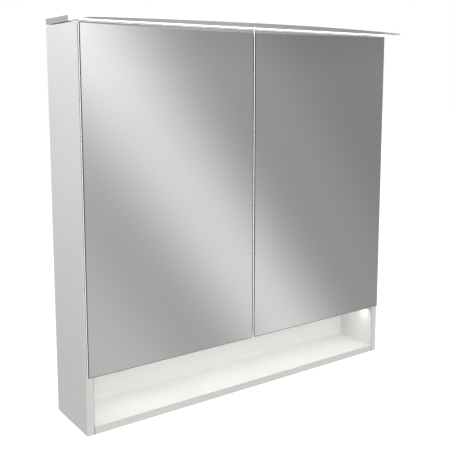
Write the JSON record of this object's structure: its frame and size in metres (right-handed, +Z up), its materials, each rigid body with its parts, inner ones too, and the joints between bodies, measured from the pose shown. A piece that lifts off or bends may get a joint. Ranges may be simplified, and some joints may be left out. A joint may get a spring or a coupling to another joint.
{
  "type": "medicine cabinet with mirror",
  "caption": "Wall-hung bathroom cabinet: a pair of frameless mirror doors over an open niche, with a bowed light canopy on top.",
  "frame": {"origin": "midway between the two screw holes of the wall rail, on the wall's plane", "axes": "+X along the wall, to the right of a person facing the doors; +Y into the wall, so the doors face -Y; +Z up"},
  "size_m": [0.8, 0.257, 0.807],
  "materials": {
    "white_board": "matt white faced board",
    "back_board": "matt white thin board",
    "dowel_wood": "plain beech",
    "mirror": "silvered, polished edges",
    "shelf_glass": "clear, ground edges",
    "nickel": "nickel plated",
    "zinc": "zinc plated",
    "cast_zinc": "die cast",
    "aluminium": "satin anodised",
    "light_acrylic": "clear light guide, lit",
    "opal": "opal diffuser, lit",
    "circuit_board": "white circuit board",
    "white_plastic": "moulded, fine grain",
    "grey_plastic": "moulded, fine grain",
    "silicone": "translucent",
    "cable_sheath": "white sheath",
    "black_rubber": "matt"
  },
  "bodies": {
    "cabinet": {"side_panel_left": "white_board", "side_panel_right": "white_board", "top_panel": "white_board", "niche_shelf": "white_board", "bottom_panel": "white_board", "back_panel": "back_board", "dowels": "dowel_wood", "cam_bolts": "zinc", "cam_locks": "cast_zinc", "glass_shelf_lower": "shelf_glass", "glass_shelf_upper": "shelf_glass", "shelf_pins": "nickel", "door_bumpers": "silicone", "wall_rail": "zinc", "hanger_left": "white_plastic", "hanger_right": "white_plastic", "hanger_hook_left": "zinc", "hanger_hook_right": "zinc", "hanger_screws": "zinc", "hinge_mounting_plates": "nickel", "hinge_arm_pins": "nickel", "panel_screws": "zinc", "light_housing": "aluminium", "light_end_cap_left": "aluminium", "light_end_cap_right": "aluminium", "light_plate": "light_acrylic", "light_underplate": "aluminium", "light_diffuser": "opal", "light_led_strip": "circuit_board", "light_spacers": "grey_plastic", "light_screws": "zinc", "led_driver": "white_plastic", "mains_gland": "grey_plastic", "canopy_lead": "cable_sheath", "switch_lead": "cable_sheath", "niche_lead": "cable_sheath", "lead_grommets": "black_rubber", "switch_box": "white_plastic", "niche_light_channel": "aluminium", "niche_light_diffuser": "opal", "niche_led_strip": "circuit_board", "hinge_arm_left_lower": "nickel", "hinge_arm_left_upper": "nickel", "hinge_arm_right_lower": "nickel", "hinge_arm_right_upper": "nickel"},
    "links_left": {"hinge_link_left_lower": "zinc", "hinge_link_left_upper": "zinc"},
    "links_right": {"hinge_link_right_lower": "zinc", "hinge_link_right_upper": "zinc"},
    "door_left": {"mirror_front_left": "mirror", "mirror_back_left": "mirror", "hinge_door_plate_left_lower": "nickel", "hinge_door_plate_left_upper": "nickel", "hinge_door_pins_left": "nickel"},
    "door_right": {"mirror_front_right": "mirror", "mirror_back_right": "mirror", "hinge_door_plate_right_lower": "nickel", "hinge_door_plate_right_upper": "nickel", "hinge_door_pins_right": "nickel"},
    "rocker": {"rocker_switch": "grey_plastic"}
  },
  "joints": [
    {"name": "hinge_link_left", "type": "hinge", "parent": "cabinet", "child": "links_left", "pos_m": [-0.355, -0.14, 0], "axis": [0, 0, 1], "range_deg": [0, 84]},
    {"name": "door_hinge_left", "type": "hinge", "parent": "links_left", "child": "door_left", "pos_m": [-0.3805, -0.139, 0], "axis": [0, 0, 1], "range_deg": [-189, 0]},
    {"name": "hinge_link_right", "type": "hinge", "parent": "cabinet", "child": "links_right", "pos_m": [0.355, -0.14, 0], "axis": [0, 0, 1], "range_deg": [-84, 0]},
    {"name": "door_hinge_right", "type": "hinge", "parent": "links_right", "child": "door_right", "pos_m": [0.3805, -0.139, 0], "axis": [0, 0, 1], "range_deg": [0, 189]},
    {"name": "rocker_tilt", "type": "hinge", "parent": "cabinet", "child": "rocker", "pos_m": [0.334, -0.091, 0.027], "axis": [1, 0, 0], "range_deg": [0, 16]}
  ],
  "couplings": [
    {"joint": "hinge_link_left", "follows": "door_hinge_left", "ratio": -0.44444},
    {"joint": "hinge_link_right", "follows": "door_hinge_right", "ratio": -0.44444}
  ]
}
